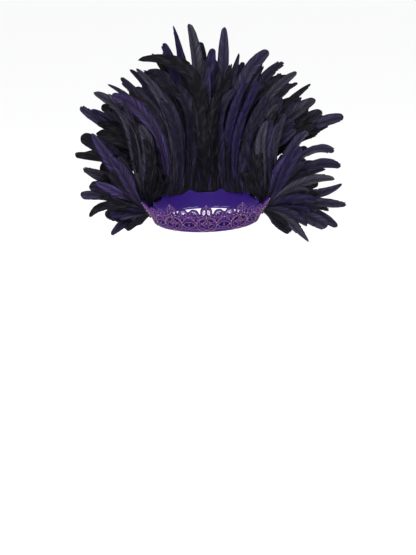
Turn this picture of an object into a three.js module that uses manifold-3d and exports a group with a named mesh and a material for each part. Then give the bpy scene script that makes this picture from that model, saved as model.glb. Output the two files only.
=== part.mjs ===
// Feathered headdress: a crown band covered in pierced lace, with a wide fan of black and violet feathers.
// Millimetres, +Z up. The origin is the centre of the rim that sits on the head,
// +Y points to the wearer's front and +X to the wearer's right.
// Angles round the band are in degrees from the front, positive towards the wearer's right.

import * as THREE from 'three';
import { mergeGeometries, mergeVertices } from 'three/addons/utils/BufferGeometryUtils.js';
import Module from 'manifold-3d';

// Driving dimensions: the band
const headWidth = 170;        // hollow of the band, side to side
const headLength = 193;       // hollow of the band, front to back
const bandWall = 2;
const bandHeight = 25;        // base band at the valleys of its upper edge
const bandPeak = 6;           // points of the base band that show between the lace motifs
const bandFlare = 4;          // outward lean of the base band, degrees
const bindingHeight = 3;
const bindingWall = 2.4;
const bindingEdge = 0.85;     // bevel of the binding's corners
const seamGap = 0.3;          // clearance between neighbouring pieces
const bandSteps = 80;

// Driving dimensions: the lace
const laceRepeats = 10;
const laceWall = 1.4;
const laceHeight = 46;        // along the lace, at a pointed medallion
const laceValley = 28;        // along the lace, between medallions
const roundTop = 37;          // along the lace, at a round medallion
const laceDip = 2;            // the rosettes dip this far below the edge of the band
const laceSeat = 0.7;         // clearance between the lace and the base band at the rim
const laceFlareBack = 12;     // outward lean at the back, degrees
const laceFlareFront = 33;    // outward lean where the feathers push it out, degrees
const laceCurve = 0.25;       // share of the lean that comes in towards the top
const gapSides = 6;

// Driving dimensions: the feathers
const fanReach = 240;         // distance from the middle of the band to the side tips
const fanHeight = 315;        // height of the tallest tips above the rim
const vaneWidth = 22;         // full width of a broad feather
const shaftWall = 1.5;        // thickness of a feather at its shaft
const vaneSteps = 6;
const tapeWall = 0.8;
const tapeHeight = 8;
const tapeRise = 17;          // lower edge of the row tapes above the rim
const rootHold = 1.6;         // a quill goes this far into its tape
const rowSpacing = 2.2;       // from one row's tape to the next
const rowSpread = 62;         // the rows reach this far to each side of the front, degrees
const rowTurn = 0.35;         // how far the vanes of a row turn to face the back
const rowSeats = 0.9;         // a feather sits at this share of the angle that its tip lies at
const tuftTapeWall = 3;
const tuftGap = 1.05;         // the tuft tapes stand this far off the curve of the lace
const tuftTapeWidth = 7;
const tuftTapeLength = 22;
const tuftTapeStart = 7;      // lower end of a tuft's tape, along the lace
const tuftMargin = 0.08;      // share of a tuft's tape left free at each end

const deg = Math.PI / 180;
const bandBottom = bindingHeight + seamGap;
const bandLean = Math.tan(bandFlare * deg);
const halfRepeat = 180 / laceRepeats;
const rimWide = headWidth / 2 + bandWall;
const rimLong = headLength / 2 + bandWall;

const wasm = await Module();
wasm.setup();

// Solids

function bare(geometry) {
  geometry.deleteAttribute('normal');
  geometry.deleteAttribute('uv');
  return mergeVertices(geometry, 1e-4);
}

function toSolid(geometry) {
  const closed = bare(geometry);
  return new wasm.Manifold(new wasm.Mesh({
    numProp: 3,
    vertProperties: new Float32Array(closed.attributes.position.array),
    triVerts: new Uint32Array(closed.index.array),
  }));
}

function toGeometry(solid) {
  const mesh = solid.getMesh();
  const geometry = new THREE.BufferGeometry();
  geometry.setAttribute('position', new THREE.BufferAttribute(mesh.vertProperties, 3));
  geometry.setIndex(new THREE.BufferAttribute(mesh.triVerts, 1));
  return geometry;
}

function fuse(geometries) {
  return toGeometry(geometries.map(toSolid).reduce((whole, piece) => whole.add(piece)));
}

function bend(geometry, place) {
  const position = geometry.attributes.position;
  const point = new THREE.Vector3();
  for (let i = 0; i < position.count; i++) {
    point.fromBufferAttribute(position, i);
    const moved = place(point);
    position.setXYZ(i, moved.x, moved.y, moved.z);
  }
  return geometry;
}

// The oval of the band: a place at an angle, set out from the band's outer face at the rim

function outwards(angle) {
  const turn = angle * deg;
  return new THREE.Vector3(rimLong * Math.sin(turn), rimWide * Math.cos(turn), 0).normalize();
}

function rimPlace(angle, outset, height) {
  const turn = angle * deg;
  return new THREE.Vector3(rimWide * Math.sin(turn), rimLong * Math.cos(turn), height)
    .addScaledVector(outwards(angle), outset);
}

// A closed ring from a profile of [outset, height] pairs, turned round the oval
function ringFrom(profile, steps, place) {
  const turned = new THREE.LatheGeometry(profile.map(([outset, height]) => (
    new THREE.Vector2(rimWide + outset, height)
  )), steps);
  return bend(turned, (point) => {
    const outset = Math.hypot(point.x, point.z) - rimWide;
    return place(Math.atan2(point.x, point.z) / deg, outset, point.y);
  });
}

// Base band and binding

function peakShare(angle) {
  const inRepeat = Math.abs(angle % (2 * halfRepeat));
  const fromPeak = Math.abs(inRepeat - halfRepeat) / halfRepeat;
  return Math.max(0, 1 - 2 * fromPeak);
}

function baseBand() {
  const bottom = bandBottom;
  const top = bandBottom + bandHeight;
  const profile = [[-bandWall, bottom], [-bandWall, top], [0, top], [0, bottom], [-bandWall, bottom]];
  return ringFrom(profile, bandSteps, (angle, outset, height) => {
    const raised = height > bottom + 1 ? height + bandPeak * peakShare(angle) : height;
    return rimPlace(angle, outset + (raised - bottom) * bandLean, raised);
  });
}

function rimBinding() {
  const edge = bindingEdge;
  const inner = -bandWall / 2 - bindingWall / 2;
  const outer = inner + bindingWall;
  const profile = [
    [inner + edge, 0], [inner, edge], [inner, bindingHeight], [outer, bindingHeight], [outer, edge],
    [outer - edge, 0], [inner + edge, 0],
  ];
  return ringFrom(profile, bandSteps / 2, rimPlace);
}

// Lace: half a repeat is drawn flat in two quarters, mirrored and carried round the band.
// Across is a share of half a repeat, from a pointed medallion (0) to the next valley (1).

const pointedWide = 0.34;
const roundCentre = 0.686;
const roundWide = 0.305;
const dipWide = 0.45;
const quarters = [
  { from: 0, to: 0.5, top: [0, 0.1, 0.2, 0.28, 0.345, 0.4, 0.5], bottom: [0, 0.15, 0.3, 0.5] },
  { from: 0.5, to: 1, top: [0.5, 0.6, 0.69, 0.78, 0.87, 0.95, 1], bottom: [0.5, 0.75, 1] },
];

// Gaps: centre and half size as shares of half a repeat and of the lace's height
const laceGaps = [
  { across: 0.24, up: 0.385, wide: 0.15, high: 0.06, tilt: -24 }, // rosette upper petal
  { across: 0.25, up: 0.165, wide: 0.15, high: 0.055, tilt: 22 }, // rosette lower petal
  { across: 0.125, up: 0.685, wide: 0.075, high: 0.115, tilt: 8 }, // pointed medallion
  { across: 0.605, up: 0.4, wide: 0.065, high: 0.085, tilt: -28 }, // ground
  { across: 0.7, up: 0.64, wide: 0.15, high: 0.095, tilt: 0 }, // round medallion
  { across: 0.83, up: 0.22, wide: 0.12, high: 0.058, tilt: 0 }, // eye
];

function laceTop(across) {
  const pointed = Math.max(0, 1 - across / pointedWide) ** 0.6;
  const round = Math.sqrt(Math.max(0, 1 - ((across - roundCentre) / roundWide) ** 2));
  return laceValley + Math.max((laceHeight - laceValley) * pointed, (roundTop - laceValley) * round);
}

function laceFloor(across) {
  return -laceDip * Math.max(0, 1 - (across / dipWide) ** 2);
}

function laceFlare(angle) {
  const forward = THREE.MathUtils.smoothstep(180 - Math.abs(angle), 20, 85);
  return (laceFlareBack + (laceFlareFront - laceFlareBack) * forward) * deg;
}

// A point of the lace: its angle, its height along the lace and its depth in the wall
function lacePlace(angle, along, depth) {
  const flare = laceFlare(angle);
  const curved = 1 - laceCurve + laceCurve * along / laceHeight;
  const outset = laceSeat + Math.max(0, along) * Math.sin(flare) * curved + depth * Math.cos(flare);
  return rimPlace(angle, outset, bandBottom + along * Math.cos(flare) - depth * Math.sin(flare));
}

function quarterPlate(quarter) {
  const outline = quarter.bottom.map((across) => new THREE.Vector2(across, laceFloor(across)));
  for (const across of quarter.top.toReversed()) outline.push(new THREE.Vector2(across, laceTop(across)));
  const shape = new THREE.Shape(outline);
  const repeatWide = Math.PI * (rimWide + rimLong) / (2 * laceRepeats);
  for (const gap of laceGaps) {
    if (gap.across < quarter.from || gap.across > quarter.to) continue;
    const points = [];
    for (let i = 0; i < gapSides; i++) {
      const turn = (i + 0.5) / gapSides * 2 * Math.PI;
      const x = gap.wide * repeatWide * Math.cos(turn);
      const y = gap.high * laceHeight * Math.sin(turn);
      const tilt = gap.tilt * deg;
      points.push(new THREE.Vector2(
        gap.across + (x * Math.cos(tilt) - y * Math.sin(tilt)) / repeatWide,
        gap.up * laceHeight + x * Math.sin(tilt) + y * Math.cos(tilt),
      ));
    }
    shape.holes.push(new THREE.Path(points));
  }
  const plate = new THREE.ExtrudeGeometry(shape, { depth: laceWall, bevelEnabled: false });
  return openSides(plate, quarter.from, quarter.to);
}

// Drops the end walls, where the next quarter goes on
function openSides(plate, from, to) {
  const position = plate.attributes.position;
  const kept = [];
  for (let i = 0; i < position.count; i += 3) {
    const acrosses = [0, 1, 2].map((k) => position.getX(i + k));
    const onEnd = [from, to].some((end) => acrosses.every((x) => Math.abs(x - end) < 1e-6));
    if (onEnd) continue;
    for (let k = 0; k < 3; k++) kept.push(position.getX(i + k), position.getY(i + k), position.getZ(i + k));
  }
  const open = new THREE.BufferGeometry();
  open.setAttribute('position', new THREE.Float32BufferAttribute(kept, 3));
  return open;
}

function swapWinding(geometry) {
  const position = geometry.attributes.position;
  const first = new THREE.Vector3();
  const second = new THREE.Vector3();
  for (let i = 0; i < position.count; i += 3) {
    first.fromBufferAttribute(position, i);
    second.fromBufferAttribute(position, i + 1);
    position.setXYZ(i, second.x, second.y, second.z);
    position.setXYZ(i + 1, first.x, first.y, first.z);
  }
  return geometry;
}

function laceTrim() {
  const pieces = [];
  for (let repeat = 0; repeat < laceRepeats; repeat++) {
    for (const side of [1, -1]) {
      for (const quarter of quarters) {
        const plate = bend(quarterPlate(quarter), (point) => (
          lacePlace((2 * repeat + side * point.x) * halfRepeat - 180, point.y, point.z)
        ));
        pieces.push(side > 0 ? swapWinding(plate) : plate);
      }
    }
  }
  return mergeVertices(mergeGeometries(pieces), 1e-3);
}

// Feathers: each tip is given by the angle it lies at, its distance from the middle of the band as a
// share of fanReach and its height as a share of fanHeight. Rise is the slope at the tip in degrees,
// width a share of vaneWidth.

const rows = [
  {
    name: 'feather_row_inner', lean: 6, hold: 0.44, colour: 0x1d1830,
    feathers: [
      { tip: -66, out: 0.65, up: 0.50, rise: 38, width: 0.95 },
      { tip: -57, out: 0.78, up: 0.65, rise: 15, width: 1.05 },
      { tip: -49, out: 0.70, up: 0.66, rise: 40, width: 0.75 },
      { tip: -41, out: 0.72, up: 0.78, rise: 45, width: 0.75 },
      { tip: -26, out: 0.61, up: 0.70, rise: 50, width: 0.75 },
      { tip: -13, out: 0.65, up: 0.76, rise: 62, width: 0.85 },
      { tip: 5, out: 0.63, up: 0.77, rise: 75, width: 0.75 },
      { tip: 17, out: 0.65, up: 0.70, rise: 66, width: 0.80 },
      { tip: 29, out: 0.66, up: 0.69, rise: 60, width: 0.80 },
      { tip: 41, out: 0.64, up: 0.69, rise: 60, width: 0.95 },
      { tip: 52, out: 0.70, up: 0.61, rise: 52, width: 0.80 },
      { tip: 60, out: 0.77, up: 0.58, rise: 52, width: 0.70 },
      { tip: 67, out: 0.72, up: 0.44, rise: 40, width: 0.75 },
    ],
  },
  {
    name: 'feather_row_middle', lean: 17, hold: 0.42, colour: 0x17171c,
    feathers: [
      { tip: -67, out: 0.84, up: 0.45, rise: 4, width: 0.95 },
      { tip: -58, out: 0.93, up: 0.66, rise: 28, width: 1.20 },
      { tip: -46, out: 0.82, up: 0.73, rise: 42, width: 0.70 },
      { tip: -34, out: 0.82, up: 0.80, rise: 12, width: 1.05 },
      { tip: -20, out: 0.79, up: 0.90, rise: 58, width: 0.80 },
      { tip: -6, out: 0.78, up: 1.00, rise: 72, width: 0.80 },
      { tip: 7, out: 0.76, up: 0.86, rise: 70, width: 0.65 },
      { tip: 21, out: 0.79, up: 0.83, rise: 60, width: 0.80 },
      { tip: 36, out: 0.85, up: 0.84, rise: 36, width: 0.90 },
      { tip: 44, out: 0.84, up: 0.72, rise: 40, width: 0.70 },
      { tip: 52, out: 0.88, up: 0.73, rise: 30, width: 0.65 },
      { tip: 60, out: 0.95, up: 0.58, rise: 28, width: 1.00 },
      { tip: 67, out: 0.90, up: 0.47, rise: 40, width: 0.80 },
    ],
  },
  {
    name: 'feather_row_outer', lean: 26, hold: 0.40, colour: 0x121216,
    feathers: [
      { tip: -68, out: 1.01, up: 0.33, rise: 4, width: 0.65 },
      { tip: -60, out: 1.03, up: 0.58, rise: 40, width: 0.70 },
      { tip: -48, out: 0.93, up: 0.69, rise: 30, width: 0.65 },
      { tip: -36, out: 0.90, up: 0.76, rise: 40, width: 0.80 },
      { tip: -24, out: 0.89, up: 0.84, rise: 50, width: 0.70 },
      { tip: -13, out: 0.88, up: 0.99, rise: 76, width: 0.65 },
      { tip: 0, out: 0.87, up: 0.89, rise: 72, width: 0.80 },
      { tip: 12, out: 0.88, up: 0.97, rise: 80, width: 0.75 },
      { tip: 21, out: 0.89, up: 0.77, rise: 58, width: 0.65 },
      { tip: 31, out: 0.90, up: 0.75, rise: 48, width: 0.75 },
      { tip: 41, out: 0.93, up: 0.77, rise: 28, width: 0.80 },
      { tip: 48, out: 0.95, up: 0.66, rise: 20, width: 0.60 },
      { tip: 55, out: 0.97, up: 0.66, rise: 34, width: 0.60 },
      { tip: 66, out: 1.12, up: 0.48, rise: 6, width: 0.80 },
    ],
  },
];

// Side tufts. Seat is the angle of the tuft's tape; sit is where a feather leaves it, from its lower
// end (0) to its upper end (1), and start is the slope of its quill there.
const tufts = [
  {
    name: 'left_tuft_front', seat: -68, colour: 0x1a1a22,
    feathers: [
      { sit: 1.0, start: 44, tip: -74, out: 0.79, up: 0.41, rise: 12, width: 0.80 },
      { sit: 0.8, start: 40, tip: -74, out: 0.91, up: 0.27, rise: 24, width: 0.95 },
      { sit: 0.6, start: 26, tip: -75, out: 0.85, up: 0.19, rise: 0, width: 0.75 },
      { sit: 0.45, start: 18, tip: -74, out: 0.94, up: 0.12, rise: -8, width: 0.70 },
      { sit: 0.3, start: 2, tip: -74, out: 0.76, up: 0.01, rise: -20, width: 0.75 },
      { sit: 0.1, start: -16, tip: -73, out: 0.55, up: -0.03, rise: -28, width: 0.55 },
    ],
  },
  {
    name: 'left_tuft_middle', seat: -78, colour: 0x241f3c,
    feathers: [
      { sit: 1.0, start: 54, tip: -83, out: 0.61, up: 0.35, rise: 44, width: 0.65 },
      { sit: 0.85, start: 44, tip: -83, out: 0.79, up: 0.48, rise: 58, width: 0.95 },
      { sit: 0.6, start: 30, tip: -84, out: 0.83, up: 0.19, rise: 6, width: 0.80 },
      { sit: 0.4, start: 18, tip: -83, out: 0.84, up: 0.02, rise: -66, width: 0.60 },
      { sit: 0.2, start: -2, tip: -83, out: 0.69, up: -0.08, rise: -46, width: 0.70 },
      { sit: 0.05, start: -14, tip: -82, out: 0.60, up: -0.04, rise: -30, width: 0.60 },
    ],
  },
  {
    name: 'left_tuft_rear', seat: -88, colour: 0x2d2350,
    feathers: [
      { sit: 1.0, start: 46, tip: -92, out: 0.67, up: 0.36, rise: 40, width: 0.90 },
      { sit: 0.8, start: 36, tip: -92, out: 0.77, up: 0.23, rise: 22, width: 0.65 },
      { sit: 0.55, start: 20, tip: -93, out: 0.72, up: 0.11, rise: 0, width: 0.70 },
      { sit: 0.35, start: 6, tip: -92, out: 0.68, up: 0.05, rise: -6, width: 0.70 },
      { sit: 0.15, start: -10, tip: -91, out: 0.57, up: -0.04, rise: -32, width: 0.60 },
    ],
  },
  {
    name: 'right_tuft_front', seat: 68, colour: 0x1a1a22,
    feathers: [
      { sit: 1.0, start: 44, tip: 74, out: 0.79, up: 0.42, rise: 20, width: 0.80 },
      { sit: 0.8, start: 46, tip: 74, out: 0.97, up: 0.31, rise: -34, width: 0.80 },
      { sit: 0.6, start: 24, tip: 75, out: 0.90, up: 0.22, rise: 4, width: 0.75 },
      { sit: 0.45, start: 20, tip: 74, out: 1.03, up: 0.13, rise: 34, width: 0.70 },
      { sit: 0.3, start: 10, tip: 74, out: 0.99, up: -0.11, rise: -44, width: 0.65 },
      { sit: 0.1, start: -8, tip: 73, out: 0.72, up: -0.05, rise: -30, width: 0.70 },
    ],
  },
  {
    name: 'right_tuft_middle', seat: 78, colour: 0x241f3c,
    feathers: [
      { sit: 1.0, start: 56, tip: 83, out: 0.61, up: 0.32, rise: 42, width: 0.80 },
      { sit: 0.85, start: 50, tip: 83, out: 0.74, up: 0.45, rise: 40, width: 0.75 },
      { sit: 0.65, start: 42, tip: 84, out: 0.97, up: 0.25, rise: -30, width: 0.70 },
      { sit: 0.4, start: 18, tip: 83, out: 1.01, up: 0.035, rise: -4, width: 0.70 },
      { sit: 0.2, start: 0, tip: 83, out: 0.87, up: -0.08, rise: -34, width: 1.00 },
      { sit: 0.05, start: -14, tip: 82, out: 0.64, up: -0.07, rise: -32, width: 0.60 },
    ],
  },
  {
    name: 'right_tuft_rear', seat: 88, colour: 0x2d2350,
    feathers: [
      { sit: 1.0, start: 46, tip: 92, out: 0.68, up: 0.38, rise: 42, width: 0.80 },
      { sit: 0.8, start: 36, tip: 92, out: 0.91, up: 0.20, rise: -10, width: 0.75 },
      { sit: 0.5, start: 16, tip: 93, out: 0.78, up: 0.09, rise: -12, width: 0.75 },
      { sit: 0.3, start: -10, tip: 92, out: 0.72, up: -0.14, rise: -46, width: 0.70 },
      { sit: 0.1, start: -16, tip: 91, out: 0.58, up: -0.09, rise: -28, width: 0.60 },
    ],
  },
];

const tipHold = 0.32;         // pull of the tip's own slope, as a share of the feather's reach
const tuftHold = 0.36;        // pull of the quill's slope in the tufts
const quillShare = 0.14;      // width at the root as a share of the feather's width
const fullFrom = 0.42;        // the vane is full from this share of its length
const tipFrom = 0.86;         // and narrows to the tip from this one

function vaneShare(along) {
  const grow = THREE.MathUtils.smoothstep(along, 0.04, fullFrom);
  const taper = along > tipFrom ? 1 - 0.5 * (along - tipFrom) / (1 - tipFrom) : 1;
  return (quillShare + (1 - quillShare) * grow) * taper;
}

function tipPlace(feather) {
  const turn = feather.tip * deg;
  const spread = feather.out * fanReach;
  return new THREE.Vector3(spread * Math.sin(turn), spread * Math.cos(turn), feather.up * fanHeight);
}

// The shaft leaves its root along the quill and ends at the tip with the tip's own slope
function shaftCurve(root, quill, feather, hold) {
  const tip = tipPlace(feather);
  const reach = root.distanceTo(tip);
  const ahead = new THREE.Vector3(tip.x - root.x, tip.y - root.y, 0).normalize();
  const slope = feather.rise * deg;
  const tipWay = ahead.clone().multiplyScalar(Math.cos(slope)).setZ(Math.sin(slope));
  return new THREE.CubicBezierCurve3(
    root,
    root.clone().addScaledVector(quill, hold * reach),
    tip.clone().addScaledVector(tipWay, -tipHold * reach),
    tip,
  );
}

// A vane of diamond section along the shaft, its flat side turned as far as facing says
function featherBody(curve, width, facing) {
  const cone = new THREE.ConeGeometry(1, 1, 4, vaneSteps);
  return bend(cone, (point) => {
    const height = point.y + 0.5;
    const along = 1 - (1 - height) ** 1.4;
    const open = Math.max(1 - height, 1e-9);
    const tangent = curve.getTangent(along);
    const side = new THREE.Vector3().crossVectors(tangent, facing(along)).normalize();
    const normal = new THREE.Vector3().crossVectors(side, tangent);
    const wide = width * vaneWidth / 2 * vaneShare(along);
    return curve.getPoint(along)
      .addScaledVector(side, height < 1 ? point.x / open * wide : 0)
      .addScaledVector(normal, height < 1 ? point.z / open * shaftWall / 2 : 0);
  });
}

// Rows: a tape between the base band and the lace, with feathers rising from it

function rowOutset(order) {
  const tapeTop = tapeRise + tapeHeight - bandBottom;
  return tapeTop * bandLean + seamGap + shaftWall / 2 + order * rowSpacing;
}

function rowTape(outset) {
  const steps = 2 * Math.round(rowSpread / 4);
  const angles = Array.from({ length: steps + 1 }, (_, i) => rowSpread * (2 * i / steps - 1));
  const outline = [
    ...angles.map((angle) => rimPlace(angle, outset + tapeWall / 2, 0)),
    ...angles.toReversed().map((angle) => rimPlace(angle, outset - tapeWall / 2, 0)),
  ];
  const shape = new THREE.Shape(outline.map((point) => new THREE.Vector2(point.x, point.y)));
  const tape = new THREE.ExtrudeGeometry(shape, { depth: tapeHeight, bevelEnabled: false });
  return tape.translate(0, 0, tapeRise);
}

function rowFeather(row, outset, feather) {
  const seat = THREE.MathUtils.clamp(feather.tip * rowSeats, 1 - rowSpread, rowSpread - 1);
  const out = outwards(seat);
  const lean = row.lean * deg;
  const quill = out.clone().multiplyScalar(Math.sin(lean)).setZ(Math.cos(lean));
  const root = rimPlace(seat, outset, tapeRise + tapeHeight - rootHold);
  const back = new THREE.Vector3(0, 1, 0);
  return featherBody(shaftCurve(root, quill, feather, row.hold), feather.width, (along) => (
    out.clone().lerp(back, rowTurn * along)
  ));
}

function featherRow(row, order) {
  const outset = rowOutset(order);
  return fuse([rowTape(outset), ...row.feathers.map((feather) => rowFeather(row, outset, feather))]);
}

// Tufts: a short upright tape over the lace, with a fan of feathers in its plane

function tuftTape(tuft) {
  const lower = lacePlace(tuft.seat, tuftTapeStart, laceWall + tuftGap);
  const upper = lacePlace(tuft.seat, tuftTapeStart + tuftTapeLength, laceWall + tuftGap);
  const up = upper.clone().sub(lower).normalize();
  const tangent = new THREE.Vector3(outwards(tuft.seat).y, -outwards(tuft.seat).x, 0);
  const normal = new THREE.Vector3().crossVectors(tangent, up);
  if (normal.dot(outwards(tuft.seat)) < 0) {
    normal.negate();
    tangent.negate();
  }
  return { lower, upper, up, tangent, normal };
}

function tuftFeather(tape, tuft, feather) {
  const root = tape.lower.clone().lerp(tape.upper, tuftMargin + (1 - 2 * tuftMargin) * feather.sit)
    .addScaledVector(tape.normal, tuftTapeWall / 2);
  const start = feather.start * deg;
  const out = outwards(tuft.seat);
  const quill = out.clone().multiplyScalar(Math.cos(start)).setZ(Math.sin(start));
  const curve = shaftCurve(root, quill, feather, tuftHold);
  const across = new THREE.Vector3(out.y, -out.x, 0);
  return featherBody(curve, feather.width, () => across);
}

function sideTuft(tuft) {
  const tape = tuftTape(tuft);
  const block = new THREE.BoxGeometry(tuftTapeWidth, tuftTapeLength, tuftTapeWall);
  const middle = tape.lower.clone().lerp(tape.upper, 0.5)
    .addScaledVector(tape.normal, tuftTapeWall / 2);
  block.applyMatrix4(new THREE.Matrix4().makeBasis(tape.tangent, tape.up, tape.normal).setPosition(middle));
  return fuse([block, ...tuft.feathers.map((feather) => tuftFeather(tape, tuft, feather))]);
}

// The assembly

const satin = new THREE.MeshStandardMaterial({ color: 0x3c149a, roughness: 0.45, metalness: 0 });
const lace = new THREE.MeshStandardMaterial({ color: 0x5528a5, roughness: 0.7, metalness: 0 });

function named(name, geometry, material) {
  const mesh = new THREE.Mesh(geometry, material);
  mesh.name = name;
  return mesh;
}

const headdress = new THREE.Group();
headdress.add(named('base_band', bare(baseBand()), satin));
headdress.add(named('rim_binding', bare(rimBinding()), satin));
headdress.add(named('lace_trim', laceTrim(), lace));
rows.forEach((row, order) => {
  const plumage = new THREE.MeshStandardMaterial({ color: row.colour, roughness: 0.5, metalness: 0 });
  headdress.add(named(row.name, featherRow(row, order), plumage));
});
for (const tuft of tufts) {
  const plumage = new THREE.MeshStandardMaterial({ color: tuft.colour, roughness: 0.5, metalness: 0 });
  headdress.add(named(tuft.name, sideTuft(tuft), plumage));
}

export default headdress;
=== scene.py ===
# Feathered headdress: lace-covered crown band with a fan of dark and violet cock feathers.
# Metres, Z up, origin at the middle of the rim. +Y is the wearer's front, +X the wearer's right.

import math
import random

import bmesh
import bpy
from mathutils import Matrix, Quaternion, Vector, noise


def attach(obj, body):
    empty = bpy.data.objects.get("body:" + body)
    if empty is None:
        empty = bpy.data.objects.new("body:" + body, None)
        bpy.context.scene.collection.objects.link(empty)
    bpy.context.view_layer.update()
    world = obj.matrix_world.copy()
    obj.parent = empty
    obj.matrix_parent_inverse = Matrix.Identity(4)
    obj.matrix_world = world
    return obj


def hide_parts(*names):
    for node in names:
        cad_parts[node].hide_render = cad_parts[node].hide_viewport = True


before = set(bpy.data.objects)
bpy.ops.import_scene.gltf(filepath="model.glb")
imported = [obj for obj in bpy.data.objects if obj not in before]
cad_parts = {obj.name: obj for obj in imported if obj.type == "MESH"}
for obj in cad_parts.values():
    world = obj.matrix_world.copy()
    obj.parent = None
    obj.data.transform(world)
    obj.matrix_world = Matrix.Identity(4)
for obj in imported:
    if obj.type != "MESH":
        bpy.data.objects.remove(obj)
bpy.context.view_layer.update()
print("stage: frame loaded")

mm = 0.001
weldReach = 0.01 * mm
sceneSeed = 5441
noise.seed_set(sceneSeed)   # the offsets of its vectors follow the clock otherwise


def smoothStep(x, low, high):
    t = min(1, max(0, (x - low) / (high - low)))
    return t * t * (3 - 2 * t)


# Camera at the photograph's angle

camera = {
    "distance": 2.55,
    "elevation": 12,
    "aim": Vector((0, 0, 0.004)),
    "imageWide": 416,
    "imageHigh": 555,
    "focalPixels": 1500,
    "ringColumn": 206.4,   # where the middle of the ring falls in the picture
    "ringRow": 217.4,
    "roll": -2.0,
}


def makeCamera():
    lens = bpy.data.cameras.new("camera")
    lens.sensor_width = 36
    lens.lens = lens.sensor_width * camera["focalPixels"] / camera["imageHigh"]
    lens.dof.use_dof = False
    lens.clip_end = 50
    body = bpy.data.objects.new("camera", lens)
    bpy.context.collection.objects.link(body)
    rise = math.radians(camera["elevation"])
    back = Vector((0, -math.cos(rise), math.sin(rise)))
    body.location = camera["aim"] + back * camera["distance"]
    pitch = math.atan((camera["imageHigh"] / 2 - camera["ringRow"]) / camera["focalPixels"])
    yaw = math.atan((camera["imageWide"] / 2 - camera["ringColumn"]) / camera["focalPixels"])
    turn = (-back).to_track_quat("-Z", "Y").to_matrix()
    turn = turn @ Matrix.Rotation(math.radians(camera["roll"]), 3, "Z")
    turn = turn @ Matrix.Rotation(-pitch, 3, "X") @ Matrix.Rotation(-yaw, 3, "Y")
    body.rotation_euler = turn.to_euler()
    bpy.context.scene.camera = body


# Mesh and node helpers

def finishMesh(bm, name, materials, smooth=True):
    mesh = bpy.data.meshes.new(name)
    for face in bm.faces:
        face.smooth = smooth
    bm.to_mesh(mesh)
    bm.free()
    piece = bpy.data.objects.new(name, mesh)
    bpy.context.collection.objects.link(piece)
    for material in materials:
        mesh.materials.append(material)
    return piece


# A mesh with the two layers that the materials of feathers and cords read
def startMesh():
    bm = bmesh.new()
    layers = {"barbs": bm.loops.layers.uv.new("barbs"), "tone": bm.loops.layers.float_color.new("tone")}
    return bm, layers


def paintFaces(bm, layers, made, reading, tone, slotIndex):
    wanted = set(made)
    for face in {face for vert in made for face in vert.link_faces}:
        if not all(vert in wanted for vert in face.verts):
            continue
        face.material_index = slotIndex
        for loop in face.loops:
            loop[layers["barbs"]].uv = reading.get(loop.vert, (0.5, 0))
            loop[layers["tone"]] = (*tone, 1)


# A tube along Z from -0.5 to 0.5 and 1 wide, to be bent afterwards
def makeTube(bm, sides, cuts, capped):
    held = len(bm.verts)
    made = bmesh.ops.create_cone(bm, cap_ends=capped, segments=sides, radius1=0.5, radius2=0.5, depth=1)
    edges = {edge for vert in made["verts"] for edge in vert.link_edges
             if abs(edge.verts[0].co.z - edge.verts[1].co.z) > 0.5}
    bmesh.ops.subdivide_edges(bm, edges=list(edges), cuts=cuts)
    return list(bm.verts)[held:]


def wholeGeometry(bm):
    return list(bm.verts) + list(bm.edges) + list(bm.faces)


# Inputs are constants or the sockets that feed them
def addNode(tree, kind, inputs, **settings):
    node = tree.nodes.new("ShaderNode" + kind)
    for key, value in settings.items():
        setattr(node, key, value)
    for key, value in inputs.items():
        if isinstance(value, bpy.types.NodeSocket):
            tree.links.new(value, node.inputs[key])
        else:
            node.inputs[key].default_value = value
    return node


# Stops are pairs of a place from 0 to 1 and a colour
def addRamp(tree, source, stops):
    ramp = addNode(tree, "ValToRGB", {"Fac": source})
    marks = ramp.color_ramp.elements
    while len(marks) < len(stops):
        marks.new(0.5)
    for mark, (place, colour) in zip(marks, stops):
        mark.position = place
        mark.color = (*colour, 1)
    return ramp.outputs["Color"]


def addMix(tree, factor, first, second, blend="MULTIPLY"):
    inputs = {"Factor": factor, "A": first, "B": second}
    mix = addNode(tree, "Mix", inputs, data_type="RGBA", blend_type=blend)
    return mix.outputs["Result"]


def addBump(tree, shader, height, strength, depth, **settings):
    bump = addNode(tree, "Bump", {"Strength": strength, "Distance": depth, "Height": height}, **settings)
    for link in shader.inputs["Normal"].links:
        tree.links.new(link.from_socket, bump.inputs["Normal"])
    tree.links.new(bump.outputs["Normal"], shader.inputs["Normal"])


def addNoise(tree, vector, scale, detail, roughness):
    grain = {"Vector": vector, "Scale": scale, "Detail": detail, "Roughness": roughness}
    return addNode(tree, "TexNoise", grain).outputs["Fac"]


def startMaterial(name, roughness, specular=0.5):
    material = bpy.data.materials.new(name)
    material.use_nodes = True
    tree = material.node_tree
    shader = tree.nodes["Principled BSDF"]
    shader.inputs["Roughness"].default_value = roughness
    shader.inputs["Specular IOR Level"].default_value = specular
    return material, tree, shader


def objectPlace(tree):
    return addNode(tree, "TexCoord", {}).outputs["Object"]


def barbPlace(tree):
    uv = addNode(tree, "UVMap", {}, uv_map="barbs")
    split = addNode(tree, "SeparateXYZ", {"Vector": uv.outputs["UV"]})
    return split.outputs["X"], split.outputs["Y"]


def makePlain(name, colour, roughness):
    material, tree, shader = startMaterial(name, roughness)
    shader.inputs["Base Color"].default_value = colour
    return material


# Floor, lights and surroundings

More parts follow.
